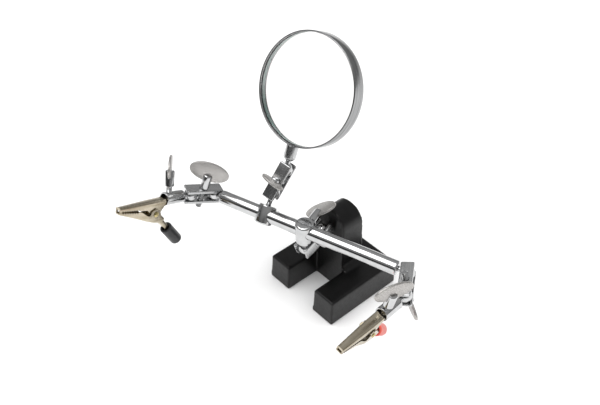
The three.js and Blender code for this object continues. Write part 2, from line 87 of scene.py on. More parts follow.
# The clip is drawn in its own plane, x towards the jaw tips, and scaled into place
CLIP_SCALE = 0.93
PIVOT = (8.5, -7.3)
TIP = 34.5
SHEET = 0.8
RIVET_HOLE = 1.0
FIXED_EDGE = [(0.6, -2.2), (3.2, -5.2), (5.6, -9.4), (8.5, -10.8), (11.3, -9.4), (12.5, -6.5),
              (14.5, -4.4), (19.9, -3.9)]
MOVING_EDGE = [(1.6, -11.0), (4.4, -8.4), (5.6, -5.2), (8.5, -3.5), (11.4, -5.2), (13.4, -8.2),
               (15.5, -7.2), (19.0, -4.8)]
MOVING_FLOOR = [(1.6, -12.6), (3.4, -14.0), (9.0, -13.2), (16.0, -11.0), (TIP, -4.7)]
# Stations of the free handle: distance from the rivet, half width, half depth
HANDLE = [(7.0, 2.6, 1.6), (10.0, 2.4, 1.6), (14.0, 2.0, 1.5), (30.0, 2.0, 1.4)]
GRIP = [(2.6, 17.5), (3.9, 17.5), (3.9, 33.0), (0, 33.0), (0, 31.6), (2.6, 31.0)]
SPRING = {"coil": 1.9, "turns": 3, "span": 3.4, "leg": 6.0, "wire": 0.35}
HANDLE_ANGLE = math.radians(223.5)
LENS_FACE = Vector((0.1, -0.89, 0.45))


# ---- places read from the frame ----------------------------------------------------------

def spot(joint):
    return Vector(JOINTS[joint]["pos_m"])


def line(joint):
    return Vector(JOINTS[joint]["axis"]).normalized()


def frame_at(origin, z_axis, x_hint):
    z = z_axis.normalized()
    y = z.cross(x_hint).normalized()
    x = y.cross(z)
    m = Matrix((x, y, z)).transposed().to_4x4()
    m.translation = origin
    return m


UP = Vector((0, 0, 1))


# ---- mesh tools ---------------------------------------------------------------------------

def soften(points, radius, steps=4, closed=False):
    """A polyline with its corners turned into arcs; radius is one number or one per point."""
    radii = radius if isinstance(radius, (list, tuple)) else [radius] * len(points)
    out = []
    count = len(points)
    for i, p in enumerate(points):
        p = Vector(p)
        ends = not closed and i in (0, count - 1)
        if ends or radii[i] <= 0:
            out.append(tuple(p))
            continue
        a = Vector(points[i - 1]) - p
        b = Vector(points[(i + 1) % count]) - p
        turn = a.angle(b)
        reach = radii[i] / math.tan(turn / 2)
        reach = min(reach, a.length * 0.49, b.length * 0.49)
        r = reach * math.tan(turn / 2)
        centre = p + (a.normalized() + b.normalized()).normalized() * (r / math.sin(turn / 2))
        start = p + a.normalized() * reach - centre
        end = p + b.normalized() * reach - centre
        sweep = start.angle(end, 0.0)
        for k in range(steps + 1):
            t = k / steps
            if sweep < 1e-4:
                v = start.lerp(end, t)
            else:
                v = (start * math.sin((1 - t) * sweep) + end * math.sin(t * sweep)) / math.sin(sweep)
            out.append(tuple(centre + v))
    return out


def lathe(profile, segments=56, closed=False):
    """Revolves (radius, z) points about z."""
    bm = bmesh.new()
    rings = []
    for r, z in profile:
        if r < 1e-6:
            rings.append([bm.verts.new((0, 0, z))])
            continue
        turns = [2 * math.pi * k / segments for k in range(segments)]
        rings.append([bm.verts.new((r * math.cos(a), r * math.sin(a), z)) for a in turns])
    pairs = list(zip(rings, rings[1:]))
    if closed:
        pairs.append((rings[-1], rings[0]))
    for low, high in pairs:
        for i in range(segments):
            j = (i + 1) % segments
            corners = []
            for ring, k in ((low, i), (low, j), (high, j), (high, i)):
                v = ring[k % len(ring)]
                if v not in corners:
                    corners.append(v)
            if len(corners) > 2:
                bm.faces.new(corners)
    return bm


def loft(sections):
    """Joins closed sections of equal length into one skin, with its ends closed."""
    bm = bmesh.new()
    rings = [[bm.verts.new(p) for p in s] for s in sections]
    for low, high in zip(rings, rings[1:]):
        for i in range(len(low)):
            j = (i + 1) % len(low)
            bm.faces.new((low[i], low[j], high[j], high[i]))
    bm.faces.new(rings[0][::-1])
    bm.faces.new(rings[-1])
    return bm


def prism(outline, z0, z1):
    return loft([[(x, y, z0) for x, y in outline], [(x, y, z1) for x, y in outline]])


def rod(radius, start, end, segments=40):
    """A plain cutter along the line from start to end."""
    start, end = Vector(start), Vector(end)
    bm = lathe([(0, 0), (radius, 0), (radius, (end - start).length), (0, (end - start).length)],
               segments)
    turn = (end - start).to_track_quat("Z", "Y").to_matrix().to_4x4()
    bmesh.ops.transform(bm, matrix=Matrix.Translation(start) @ turn, verts=bm.verts)
    return bm


def block(x0, x1, y0, y1, z0, z1):
    return prism([(x0, y0), (x1, y0), (x1, y1), (x0, y1)], z0, z1)


def scratch_object(bm):
    bmesh.ops.recalc_face_normals(bm, faces=bm.faces)
    mesh = bpy.data.meshes.new("scratch")
    bm.to_mesh(mesh)
    bm.free()
    obj = bpy.data.objects.new("scratch", mesh)
    bpy.context.scene.collection.objects.link(obj)
    return obj


def evaluated(obj):
    """The object's mesh with its modifiers applied; the object is removed."""
    depsgraph = bpy.context.evaluated_depsgraph_get()
    mesh = bpy.data.meshes.new_from_object(obj.evaluated_get(depsgraph))
    bm = bmesh.new()
    bm.from_mesh(mesh)
    bpy.data.meshes.remove(mesh)
    bpy.data.objects.remove(obj)
    return bm


def combine(bm, others, operation="DIFFERENCE"):
    """bm with the others cut from it, or joined to it."""
    target = scratch_object(bm)
    tools = [scratch_object(o) for o in others]
    for tool in tools:
        modifier = target.modifiers.new("cut", "BOOLEAN")
        modifier.operation = operation
        modifier.solver = "EXACT"
        modifier.object = tool
    result = evaluated(target)
    for tool in tools:
        bpy.data.objects.remove(tool)
    return result


def sweep(path, radius, segments=10):
    """A round wire along a list of points."""
    points = [Vector(p) for p in path]
    ahead = (points[1] - points[0]).normalized()
    side = ahead.orthogonal().normalized()
    sections = []
    for i, p in enumerate(points):
        nearby = points[min(i + 1, len(points) - 1)] - points[max(i - 1, 0)]
        turned = nearby.normalized()
        side = (side - turned * side.dot(turned)).normalized()
        up = turned.cross(side)
        ring = []
        for k in range(segments):
            a = 2 * math.pi * k / segments
            ring.append(p + (side * math.cos(a) + up * math.sin(a)) * radius)
        sections.append(ring)
    return loft(sections)


def piece(name, bm, place, body, nodes, material, sharp=38, bevel=0.0, scale=1.0):
    """Makes a piece from millimetre geometry, puts it in place and lets it ride on its body."""
    bmesh.ops.remove_doubles(bm, verts=bm.verts, dist=1e-4)
    bmesh.ops.recalc_face_normals(bm, faces=bm.faces)
    for v in bm.verts:
        v.co *= MM * scale
    for f in bm.faces:
        f.smooth = True
    for e in bm.edges:
        if len(e.link_faces) == 2 and e.calc_face_angle(0) > math.radians(sharp):
            e.smooth = False
    mesh = bpy.data.meshes.new(name)
    bm.to_mesh(mesh)
    bm.free()
    obj = bpy.data.objects.new(name, mesh)
    bpy.context.scene.collection.objects.link(obj)
    local = mesh.attributes.new("local", "FLOAT_VECTOR", "POINT")
    local.data.foreach_set("vector", [value for v in mesh.vertices for value in v.co])
    mesh.transform(place)
    mesh.materials.append(material)
    if bevel:
        modifier = obj.modifiers.new("edges", "BEVEL")
        modifier.width = bevel * MM
        modifier.segments = 2
        modifier.limit_method = "ANGLE"
        modifier.angle_limit = math.radians(40)
        modifier.harden_normals = True
    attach(obj, body)
    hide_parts(*nodes)
    return obj


# ---- materials ----------------------------------------------------------------------------

class Nodes:
    """Short hand for building a node material."""

    def __init__(self, name):
        self.material = bpy.data.materials.new(name)
        self.material.use_nodes = True
        self.tree = self.material.node_tree
        self.shader = self.tree.nodes["Principled BSDF"]
        space = self.tree.nodes.new("ShaderNodeAttribute")
        space.attribute_name = "local"
        self.space = space.outputs["Vector"]

    def add(self, kind, inputs):
        node = self.tree.nodes.new(kind)
        for key, value in inputs.items():
            self.put(value, node.inputs[key])
        return node

    def put(self, value, socket):
        if isinstance(value, bpy.types.NodeSocket):
            self.tree.links.new(value, socket)
        else:
            socket.default_value = value

    def set(self, **inputs):
        for key, value in inputs.items():
            self.put(value, self.shader.inputs[key.replace("_", " ")])

    def stretched(self, scale):
        mapping = self.add("ShaderNodeMapping", {"Vector": self.space, "Scale": scale})
        return mapping.outputs["Vector"]

    def noise(self, scale, detail=3.0, rough=0.5, vector=None):
        return self.add("ShaderNodeTexNoise", {
            "Vector": vector or self.space, "Scale": scale, "Detail": detail, "Roughness": rough,
        }).outputs["Fac"]

    def ramp(self, fac, stops):
        node = self.add("ShaderNodeValToRGB", {"Fac": fac})
        elements = node.color_ramp.elements
        while len(elements) < len(stops):
            elements.new(0.5)
        for element, (at, value) in zip(elements, stops):
            element.position = at
            grey = isinstance(value, (int, float))
            element.color = (value, value, value, 1) if grey else (*value, 1)
        return node.outputs["Color"]

    def bump(self, height, strength, distance, normal=None):
        inputs = {"Height": height, "Strength": strength, "Distance": distance * MM}
        if normal is not None:
            inputs["Normal"] = normal
        return self.add("ShaderNodeBump", inputs).outputs["Normal"]


def chrome_plate():
    n = Nodes("bright_chrome")
    smudge = n.noise(260, 4)
    scratch = n.noise(900, 2, vector=n.stretched((1, 1, 0.06)))
    n.set(Base_Color=n.ramp(smudge, [(0.3, (0.50, 0.505, 0.51)), (0.7, (0.60, 0.602, 0.605))]),
          Metallic=1.0, Roughness=n.ramp(smudge, [(0.35, 0.09), (0.7, 0.14)]),
          Normal=n.bump(scratch, 0.06, 0.02))
    return n.material


def rolled_plate():
    n = Nodes("rolled_plate")
    brushed = n.noise(700, 4, 0.6, n.stretched((0.05, 1, 1)))
    cloud = n.noise(180, 3)
    n.set(Base_Color=n.ramp(brushed, [(0.3, (0.44, 0.445, 0.45)), (0.7, (0.60, 0.603, 0.605))]),
          Metallic=1.0, Roughness=n.ramp(cloud, [(0.3, 0.2), (0.7, 0.3)]),
          Normal=n.bump(brushed, 0.16, 0.03))
    return n.material


def ring_plate():
    n = Nodes("ring_plate")
    brushed = n.noise(800, 4, 0.6, n.stretched((0.04, 1, 0.04)))
    cloud = n.noise(120, 3)
    n.set(Base_Color=n.ramp(brushed, [(0.35, (0.19, 0.192, 0.195)), (0.65, (0.40, 0.402, 0.405))]),
          Metallic=1.0, Roughness=n.ramp(cloud, [(0.3, 0.16), (0.7, 0.26)]),
          Normal=n.bump(brushed, 0.1, 0.03))
    return n.material


def satin_plate():
    n = Nodes("satin_nickel")
    grain = n.noise(1500, 4, 0.7)
    patch = n.noise(300, 4)
    n.set(Base_Color=n.ramp(grain, [(0.36, (0.27, 0.26, 0.25)), (0.64, (0.62, 0.60, 0.58))]),
          Metallic=0.85, Roughness=n.ramp(patch, [(0.3, 0.36), (0.7, 0.5)]),
          Normal=n.bump(grain, 0.5, 0.05))
    return n.material


def clip_plate():
    n = Nodes("warm_nickel")
    streak = n.noise(420, 4, vector=n.stretched((0.12, 1, 1)))
    spots = n.noise(1500, 2)
    n.set(Base_Color=n.ramp(streak, [(0.3, (0.36, 0.31, 0.22)), (0.7, (0.62, 0.56, 0.45))]),
          Metallic=1.0, Roughness=n.ramp(spots, [(0.3, 0.14), (0.75, 0.28)]),
          Normal=n.bump(streak, 0.1, 0.03))
    return n.material


def black_enamel():
    n = Nodes("black_enamel")
    cast = n.noise(520, 5, 0.6)
    fine = n.noise(1300, 4, 0.65)
    worn = n.noise(90, 4)
    rough = n.bump(fine, 0.45, 0.08, n.bump(cast, 0.4, 0.16))
    n.set(Base_Color=n.ramp(worn, [(0.35, (0.002, 0.002, 0.002)), (0.75, (0.006, 0.0058, 0.006))]),
          Roughness=n.ramp(cast, [(0.3, 0.3), (0.7, 0.46)]), Specular_IOR_Level=0.26, Normal=rough)
    n.set(Coat_Weight=0.12, Coat_Roughness=0.2)
    return n.material


def vinyl(name, dark, light, scatter):
    n = Nodes(name)
    tone = n.noise(300, 3)
    dimple = n.noise(1300, 2)
    n.set(Base_Color=n.ramp(tone, [(0.3, dark), (0.7, light)]),
          Roughness=n.ramp(dimple, [(0.3, 0.28), (0.7, 0.42)]),
          Subsurface_Weight=scatter, Subsurface_Scale=0.002, Normal=n.bump(dimple, 0.15, 0.05))
    n.shader.inputs["Subsurface Radius"].default_value = (1.0, 0.3, 0.2)
    return n.material


def yellow_steel():
    n = Nodes("passivated_steel")
    tone = n.noise(900, 3)
    n.set(Base_Color=n.ramp(tone, [(0.3, (0.42, 0.34, 0.14)), (0.7, (0.66, 0.56, 0.30))]),
          Metallic=1.0, Roughness=n.ramp(tone, [(0.3, 0.2), (0.7, 0.34)]),
          Normal=n.bump(tone, 0.1, 0.02))
    return n.material


def lens_glass():
    n = Nodes("lens_glass")
    dust = n.noise(700, 4)
    n.set(Base_Color=(0.93, 0.922, 0.915, 1), Roughness=n.ramp(dust, [(0.4, 0.0), (0.9, 0.015)]),
          IOR=1.5, Transmission_Weight=1.0)
    return n.material


def lens_edge():
    n = Nodes("lens_edge")
    tone = n.noise(400, 3)
    n.set(Base_Color=n.ramp(tone, [(0.3, (0.08, 0.22, 0.19)), (0.7, (0.18, 0.37, 0.33))]),
          Roughness=0.25, Transmission_Weight=0.2)
    return n.material


CHROME = chrome_plate()
PLATED = rolled_plate()
RING = ring_plate()
SATIN = satin_plate()
NICKEL = clip_plate()
ENAMEL = black_enamel()
BLACK_VINYL = vinyl("black_vinyl", (0.008, 0.008, 0.009), (0.02, 0.02, 0.021), 0.0)
RED_VINYL = vinyl("red_vinyl", (0.62, 0.075, 0.055), (0.78, 0.13, 0.09), 0.35)
STEEL = yellow_steel()
GLASS = lens_glass()
GLASS_EDGE = lens_edge()


# ---- base casting -------------------------------------------------------------------------

def base_casting():
    half_w, half_l, height, leg, notch, draft = 27.8, 27.65, 18.0, 16.9, 24.2, 1.1
    inner = half_w - leg

    def foot(inset, z):
        w, l, i = half_w - inset, half_l - inset, inner + inset
        return [(-w, -l, z), (-i, -l, z), (-i, notch - half_l, z), (i, notch - half_l, z),
                (i, -l, z), (w, -l, z), (w, l, z), (-w, l, z)]

    body = loft([foot(0.5, 0), foot(0, 0.5), foot(draft - 0.5, height - 0.6), foot(draft, height)])
    front, back_low, back_top, top, radius = -3.5, 15.6, 11.4, 59.4, 10.6

    def arch(y, half, crown):
        points = [(-half, y, 1.0), (half, y, 1.0)]
        for k in range(25):
            a = math.pi * k / 24
            points.append((half * math.cos(a), y, crown - half + half * math.sin(a)))
        return points

    upright = loft([arch(front, radius, top), arch(back_low, radius, top)])
    lean = (back_low - back_top) / (top - height)
    for v in upright.verts:
        if v.co.y > 0 and v.co.z > height:
            v.co.y -= lean * (v.co.z - height)
    fillet, rows = 5.0, 6
    sections = []
    for k in range(rows + 1):
        a = math.pi / 2 * k / rows
        out = fillet * (1 - math.sin(a))
        z = height - 1 + fillet * (1 - math.cos(a)) + (1 if k else 0)
        w = radius + out - 0.2
        sections.append([(-w, front + 0.6, z), (w, front + 0.6, z),
                         (w, back_low + out - 0.4, z), (-w, back_low + out - 0.4, z)])
    obj = scratch_object(combine(body, [upright, loft(sections)], "UNION"))
    remesh = obj.modifiers.new("cast", "REMESH")
    remesh.mode = "VOXEL"
    remesh.voxel_size = 0.55
    smooth = obj.modifiers.new("worn", "SMOOTH")
    smooth.factor = 0.5
    smooth.iterations = 9
    bm = evaluated(obj)
    for v in bm.verts:
        if v.co.z < 0.05:
            v.co.z = 0.0
    ball = spot("base_twist") / MM
    bm = combine(bm, [rod(STUD_BORE, (ball.x, front - 2, ball.z), (ball.x, 8.3, ball.z))])
    piece("casting", bm, Matrix(), "base", ["base_casting"], ENAMEL, sharp=80)


# ---- ball joints --------------------------------------------------------------------------

def ball_stud(name, reach, place, body):
    last = math.pi - math.asin(NECK / BALL_RADIUS)
    profile = [(0, -BALL_RADIUS)]
    steps = 26
    for i in range(1, steps + 1):
        a = last * i / steps
        profile.append((BALL_RADIUS * math.sin(a), -BALL_RADIUS * math.cos(a)))
    profile += [(NECK, reach - 0.2), (NECK - 0.2, reach), (0, reach)]
    piece(name + "_turned", lathe(profile, 48), place, body, [name], CHROME, sharp=50)


def channel_plate(name, side, place, body):
    length, width, face = PLATE["length"] / 2, PLATE["width"] / 2, PLATE["face"]
    corners = [(length, width), (-length, width), (-length, -width), (length, -width)]
    fold = 0.55

    def outline(inset, z):
        points = soften([(math.copysign(abs(x) - inset, x), math.copysign(abs(y) - inset, y))
                         for x, y in corners], PLATE["corner"], 4, True)
        return [(x, y, z) for x, y in points]

    low = face - PLATE["flange"]
    rows = [outline(0.15, low), outline(0, low + 0.15)]
    for k in range(5):
        a = math.pi / 2 * k / 4
        rows.append(outline(fold * (1 - math.cos(a)), face - fold + fold * math.sin(a)))
    bm = loft(rows)
    inner = width - PLATE["side"]
    pocket = block(-length - 1, length + 1, -inner, inner, low - 1, face - PLATE["web"])
    cutters = [pocket, rod(PLATE["hole"], (0, 0, 0), (0, 0, 9))]
    for x in (-BALL_PITCH / 2, BALL_PITCH / 2):
        dimple = bmesh.new()
        bmesh.ops.create_uvsphere(dimple, u_segments=40, v_segments=24, radius=PLATE["dimple"],
                                  matrix=Matrix.Translation((x, 0, 0)))
        cutters.append(dimple)
    bm = combine(bm, cutters)
    if side < 0:
        bmesh.ops.transform(bm, matrix=Matrix.Rotation(math.pi, 4, "X"), verts=bm.verts)
    piece(name + "_pressing", bm, place, body, [name], PLATED, sharp=30)


def wing_bolt(prefix, size, start, seat, turn, place, body):
    shank, barrel = BOLT["shank"], size["barrel"]
    top = seat + size["length"]
    centre = top + size["above"]
    profile = [(0, start), (shank - 0.5, start), (shank - 0.2, start + 0.3)]
    z, pitch = start + 0.5, 0.7
    while z < seat - 0.5:
        profile += [(shank, z), (shank - 0.28, z + pitch / 2)]
        z += pitch
    profile += [(shank, seat), (barrel - 0.3, seat), (barrel, seat + 0.3),
                (barrel, top - 0.7), (barrel - 0.25, top - 0.25), (barrel - 0.7, top), (0, top)]
    bm = lathe(profile, 44)
    half = BOLT["thick"] / 2 + 0.12
    floor = centre - size["half_height"] - 0.3
    bm = combine(bm, [block(-barrel - 1, barrel + 1, -half, half, floor, top + 1)])
    place = place @ Matrix.Rotation(math.radians(turn), 4, "Z")
    piece(f"{prefix}_turned_bolt", bm, place, body, [f"{prefix}_bolt"], CHROME,
          sharp=40, bevel=0.1)
    rows = []
    thick = BOLT["thick"] / 2
    for inset, y in ((0.35, -thick), (0.1, -thick + 0.12), (0, -thick + 0.35),
                     (0, thick - 0.35), (0.1, thick - 0.12), (0.35, thick)):
        ring = []
        for k in range(72):
            a = 2 * math.pi * k / 72
            ring.append(((size["half_length"] - inset) * math.cos(a), y,
                         centre + (size["half_height"] - inset) * math.sin(a)))
        rows.append(ring)
    piece(f"{prefix}_pressed_wing", loft(rows), place, body, [f"{prefix}_wing"], SATIN,
          sharp=60)


def ball_joint(prefix, near, far, first, second, size=FULL_WING):
    """Two plates over the balls at first and second, with the wing bolt between them."""
    place = frame_at((first + second) / 2, line(f"{prefix}_wing_turn"), second - first)
    channel_plate(f"{prefix}_{near}_plate", 1, place, f"{prefix}_plates")
    channel_plate(f"{prefix}_{far}_plate", -1, place, f"{prefix}_plates")
    wing_bolt(f"{prefix}_joint", size, BOLT["end"], PLATE["face"] + 0.3, WING_TURN[prefix],
              place, f"{prefix}_wing_bolt")


# ---- bar and sleeves ----------------------------------------------------------------------

def bar_sleeve(name, size, clamp_side, slotted, place):
    """A sleeve across the bar; z points at its ball stud and y at or from its clamp bolt."""
    r, stud_end, far_end = SLEEVE_RADIUS, size["stud_end"], size["far_end"]
    outline = [(0, -far_end), (r, -far_end), (r, stud_end), (0, stud_end)]
    bm = lathe(soften(outline, [0, 1.3, 0.8, 0], 5), 72)
    cutters = [rod(BAR["radius"] + 0.15, (-9, 0, 0), (9, 0, 0), 64),
               rod(STUD_BORE, (0, 0, 0), (0, 0, stud_end + 1)),
               rod(BOLT_BORE, (0, 0, 0), (0, 9 * clamp_side, 0))]
    if slotted:
        cutters.append(block(-9, 9, -1.2, 1.2, -far_end - 1, -far_end + 1.4))
    piece(name + "_turned", combine(bm, cutters), place, name, [name], CHROME,
          sharp=32, bevel=0.18)


def cross_bar(place):
    r, left, right = BAR["radius"], BAR["left"], BAR["right"]
    bm = lathe(soften([(0, -left), (r, -left), (r, right), (0, right)], [0, 0.9, 0.9, 0], 5), 72)
    bore = NECK + 0.25
    bm = combine(bm, [rod(bore, (0, 0, -left - 1), (0, 0, -left + 5)),
                      rod(bore, (0, 0, right - 5), (0, 0, right + 1))])
    piece("bar_tube", bm, place, "cross_bar", ["cross_bar"], CHROME, sharp=32)


# ---- magnifier ----------------------------------------------------------------------------

def magnifier(ring_place, stem_place):
    half = LENS["width"] / 2
    groove = LENS["groove"]
    # A little under the CAD's outer radius, so the round ring stays inside the faceted one
    outer, lip = LENS["outer"] - 0.12, groove - 0.15
    profile = [(lip, -half), (outer, -half), (outer, half), (lip, half), (lip, half - 1.2),
               (groove, half - 1.8), (groove, -half + 1.8), (lip, -half + 1.2)]
    rim = lathe(soften(profile, 0.32, 3, True), 144, closed=True)
    rim.transform(Matrix.Rotation(-math.pi / 2, 4, "X"))
    rim = combine(rim, [rod(STUD_BORE, (0, 0, -outer - 1), (0, 0, -lip + 2))])
    piece("lens_ring", rim, ring_place, "lens", ["lens_rim"], RING, sharp=40)

    edge, radius = LENS["edge"], LENS["glass"]
    bulge = (LENS["middle"] - edge) / 2
    rows = 14
    front = [(radius * k / rows, edge / 2 + bulge * (1 - (k / rows) ** 2)) for k in range(rows + 1)]
    back = [(r, -z) for r, z in front]
    lens = lathe(back + front[::-1], 128)
    lens.transform(Matrix.Rotation(-math.pi / 2, 4, "X"))
    obj = piece("lens_disc", lens, ring_place, "lens", ["lens_glass"], GLASS, sharp=30)
    obj.data.materials.append(GLASS_EDGE)
    local = obj.data.attributes["local"].data
    for face in obj.data.polygons:
        corners = [local[v].vector for v in face.vertices]
        if all(math.hypot(c.x, c.z) > (radius - 0.05) * MM for c in corners):
            face.material_index = 1

    top = LENS_REACH - outer - 0.3
    bottom = top - 8.2
    outline = [(0, bottom - 1.3), (2.1, bottom - 1.3), (3.7, bottom + 0.4), (3.7, top), (NECK, top),
               (NECK, top + 1.2), (0, top + 1.2)]
    socket = lathe(soften(outline, [0, 0.3, 0.8, 0.5, 0, 0, 0], 4), 56)
    socket = combine(socket, [rod(STUD_BORE, (0, 0, bottom - 3), (0, 0, bottom + 4))])
    piece("lens_stem", socket, stem_place, "lens", ["lens_socket"], PLATED, sharp=32)


# ---- clips --------------------------------------------------------------------------------

def interpolate(table, x):
    """Value at x on a list of (x, value) points."""
    for (x0, v0), (x1, v1) in zip(table, table[1:]):
        if x <= x1:
            return v0 + (v1 - v0) * max(0.0, (x - x0) / (x1 - x0))
    return table[-1][1]


def channel_section(x, roof, edge, half, sheet, corner):
    """A U of sheet metal across x; its roof faces away from its open edge."""
    way = 1 if roof > edge else -1
    outer, inner = [], []
    steps = 5
    for side in (-1, 1):
        arc = [math.pi / 2 * k / steps for k in range(steps + 1)]
        turns = arc if side < 0 else arc[::-1]
        for a in turns:
            y = side * (half - corner + corner * math.cos(a))
            z = roof - way * (corner - corner * math.sin(a))
            outer.append((x, y, z))
            tight = max(corner - sheet, 0.1)
            y = side * (half - sheet - tight + tight * math.cos(a))
            z = roof - way * (sheet + tight - tight * math.sin(a))
            inner.append((x, y, z))
    outer = [(x, -half, edge)] + outer + [(x, half, edge)]
    inner = [(x, -half + sheet, edge)] + inner + [(x, half - sheet, edge)]
    return outer + inner[::-1]


def toothed(edge_table, start, end, teeth, depth, way):
    """Stations and edge levels along a jaw with teeth between start and end."""
    stations = [(x, z) for x, z in edge_table if x < start]
    pitch = (end - start) / teeth
    for k in range(teeth):
        x = start + pitch * k
        stations.append((x, interpolate(edge_table, x)))
        stations.append((x + pitch * 0.5, interpolate(edge_table, x + pitch * 0.5) + way * depth))
    stations.append((end, interpolate(edge_table, end)))
    stations += [(x, z) for x, z in edge_table if x > end]
    return stations


def sheet_channel(edges, roofs, halves, sheet=SHEET, corner=1.1):
    sections = [channel_section(x, interpolate(roofs, x), z, interpolate(halves, x), sheet, corner)
                for x, z in edges]
    return loft(sections)


def rivet_hole():
    return rod(RIVET_HOLE, (PIVOT[0], -6, PIVOT[1]), (PIVOT[0], 6, PIVOT[1]))


def fixed_jaw(side, place):
    smooth = soften(FIXED_EDGE, 2.0, 5) + [(TIP - 1.2, -2.95), (TIP, -2.85)]
    edges = toothed(smooth, 20.0, TIP - 1.2, 8, 0.95, 1)
    bm = sheet_channel(edges, [(0.6, 0.9), (TIP, -0.4)], [(10, 3.2), (TIP, 2.2)])
    tail = soften([(-9.5, 0.9), (1.8, 0.9), (1.8, -0.2), (-9.5, -0.2)], 0.2, 2, True)
    tail = loft([[(x, -1.8, z) for x, z in tail], [(x, 1.8, z) for x, z in tail]])
    lip = block(TIP - 0.9, TIP - 0.2, -1.3, 1.3, -2.1, -0.9)
    bm = combine(combine(bm, [tail, lip], "UNION"), [rivet_hole()])
    piece(f"{side}_fixed_jaw_pressing", bm, place, f"{side}_clip", [f"{side}_clip_fixed_jaw"],
          NICKEL, sharp=36, scale=CLIP_SCALE)


def moving_jaw(side, place):
    upper = soften(MOVING_EDGE, 1.6, 5) + [(TIP - 1.2, -3.2), (TIP, -3.1)]
    edges = toothed(upper, 20.95, TIP - 1.2, 7, 0.95, -1)
    bm = sheet_channel(edges, MOVING_FLOOR, [(14.5, 4.25), (20, 3.0), (TIP, 2.2)])
    along = Vector((math.cos(HANDLE_ANGLE), 0, math.sin(HANDLE_ANGLE)))
    across = Vector((0, 1, 0))
    normal = along.cross(across)
    origin = Vector((PIVOT[0], 0, PIVOT[1]))
    sections = []
    for d, half, depth in HANDLE:
        ring = []
        for y, z in soften([(-half, -depth), (half, -depth), (half, depth), (-half, depth)],
                           0.4, 3, True):
            ring.append(origin + along * d + across * y + normal * z)
        sections.append(ring)
    bm = combine(combine(bm, [loft(sections)], "UNION"), [rivet_hole()])
    piece(f"{side}_moving_jaw_pressing", bm, place, f"{side}_clip_moving_jaw",
          [f"{side}_clip_moving_jaw"], NICKEL, sharp=36, scale=CLIP_SCALE)


def grip(side, place, material):
    profile = soften(GRIP, [0.3, 0.7, 2.2, 0, 0, 0], 6)
    bm = lathe(profile + [profile[0]], 48)
    along = Vector((math.cos(HANDLE_ANGLE), 0, math.sin(HANDLE_ANGLE)))
    local = frame_at(Vector((PIVOT[0], 0, PIVOT[1])) * MM * CLIP_SCALE, along, Vector((0, 1, 0)))
    piece(f"{side}_vinyl_grip", bm, place @ local, f"{side}_clip_moving_jaw",
          [f"{side}_clip_grip"], material, sharp=60, scale=CLIP_SCALE)


def pin_and_spring(side, place):
    head = 4.55
    outline = [(0, -head - 0.7), (1.2, -head - 0.6), (1.7, -head), (0.9, -head), (0.9, head),
               (1.7, head), (1.2, head + 0.6), (0, head + 0.7)]
    local = frame_at(Vector((PIVOT[0], 0, PIVOT[1])) * MM * CLIP_SCALE, Vector((0, 1, 0)),
                     Vector((1, 0, 0)))
    piece(f"{side}_rivet", lathe(outline, 32), place @ local, f"{side}_clip",
          [f"{side}_clip_pivot_pin"], STEEL, sharp=50, scale=CLIP_SCALE)
    coil, turns, span, leg = (SPRING[key] for key in ("coil", "turns", "span", "leg"))
    path = []
    steps = 90
    for k in range(steps + 1):
        s = k / steps
        middle = min(max((s - 0.15) / 0.7, 0), 1)
        angle = math.radians(60) + 2 * math.pi * turns * middle
        away = (0.15 - s) / 0.15 if s < 0.15 else max(0.0, (s - 0.85) / 0.15)
        way = 1 if s < 0.15 else -1
        path.append((PIVOT[0] + coil * math.cos(angle) + way * away * leg * math.sin(angle),
                     -span / 2 + span * middle,
                     PIVOT[1] + coil * math.sin(angle) - way * away * leg * math.cos(angle)))
    piece(f"{side}_torsion_spring", sweep(path, SPRING["wire"]), place, f"{side}_clip",
          [f"{side}_clip_spring"], STEEL, sharp=60, scale=CLIP_SCALE)


def ferrule(side, place):
    start, end, outer, bore = FERRULE["start"], FERRULE["end"], FERRULE["outer"], FERRULE["bore"]
    floor = start + FERRULE["wall"]
    outline = [(0, start), (outer, start), (outer, end), (bore, end), (bore, floor), (0, floor)]
    bm = lathe(soften(outline, [0, 1.5, 0.25, 0.2, 0, 0], 5), 64)
    bm = combine(bm, [rod(STUD_BORE, (0, 0, start - 1), (0, 0, start + 5)),
                      rod(BOLT_BORE, (0, 0, FERRULE["bolt"]), (6, 0, FERRULE["bolt"]))])
    piece(f"{side}_ferrule_tube", bm, place, f"{side}_ferrule", [f"{side}_ferrule"], CHROME,
          sharp=32, bevel=0.1)


def clip_arm(side, material):
    ball = spot(f"{side}_ferrule_twist")
    forward = line(f"{side}_ferrule_twist")
    up = line(f"{side}_ferrule_wing_turn")
    place = frame_at(ball, forward, up)
    ball_stud(f"{side}_ferrule_ball_stud", FERRULE["start"] + 3.2, place,
              f"{side}_ferrule_ball_stud")
    ferrule(side, place)
    wing_bolt(f"{side}_ferrule", FULL_WING, 1.6, FERRULE_SEAT[side], WING_TURN[f"{side}_ferrule"],
              frame_at(spot(f"{side}_ferrule_wing_turn"), up, forward),
              f"{side}_ferrule_wing_bolt")
    across = line(f"{side}_clip_squeeze")
    top = forward.cross(across)
    clip = Matrix((forward, across, top)).transposed().to_4x4()
    clip.translation = (spot(f"{side}_clip_squeeze")
                        - (forward * PIVOT[0] + top * PIVOT[1]) * MM * CLIP_SCALE)
    fixed_jaw(side, clip)
    moving_jaw(side, clip)
    grip(side, clip, material)
    pin_and_spring(side, clip)


# ---- assembly -----------------------------------------------------------------------------

